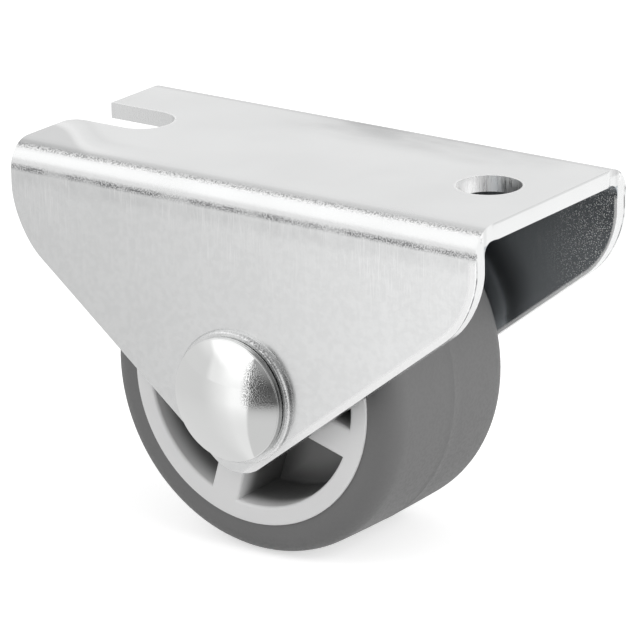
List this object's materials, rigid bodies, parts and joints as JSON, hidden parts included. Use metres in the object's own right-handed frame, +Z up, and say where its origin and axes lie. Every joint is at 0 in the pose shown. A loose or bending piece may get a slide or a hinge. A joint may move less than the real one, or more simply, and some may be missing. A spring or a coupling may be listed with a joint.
{
  "type": "fixed furniture caster",
  "caption": "Fixed box caster for furniture: a spoked plastic wheel with a soft tyre turns on a domed rivet in a folded steel housing with a screw hole and an open slot.",
  "frame": {"origin": "middle of the mounting face, which is the top of the housing's web", "axes": "+Z up out of the mounting face, X along the housing with +X towards the round screw hole, Y along the axle with the domed rivet head on -Y"},
  "size_m": [0.048, 0.0274, 0.0336],
  "materials": {
    "zinc_plated_sheet": "bright zinc plate",
    "zinc_plated_rivet": "bright zinc plate",
    "wheel_plastic": "satin moulded",
    "tyre": "matt soft thermoplastic"
  },
  "bodies": {
    "frame": {"housing": "zinc_plated_sheet", "axle_rivet": "zinc_plated_rivet"},
    "wheel": {"wheel_centre": "wheel_plastic", "tyre": "tyre"}
  },
  "joints": [
    {"name": "wheel_spin", "type": "hinge", "parent": "frame", "child": "wheel", "pos_m": [-0.00048, 0, -0.0186], "axis": [0, 1, 0], "continuous": true}
  ]
}
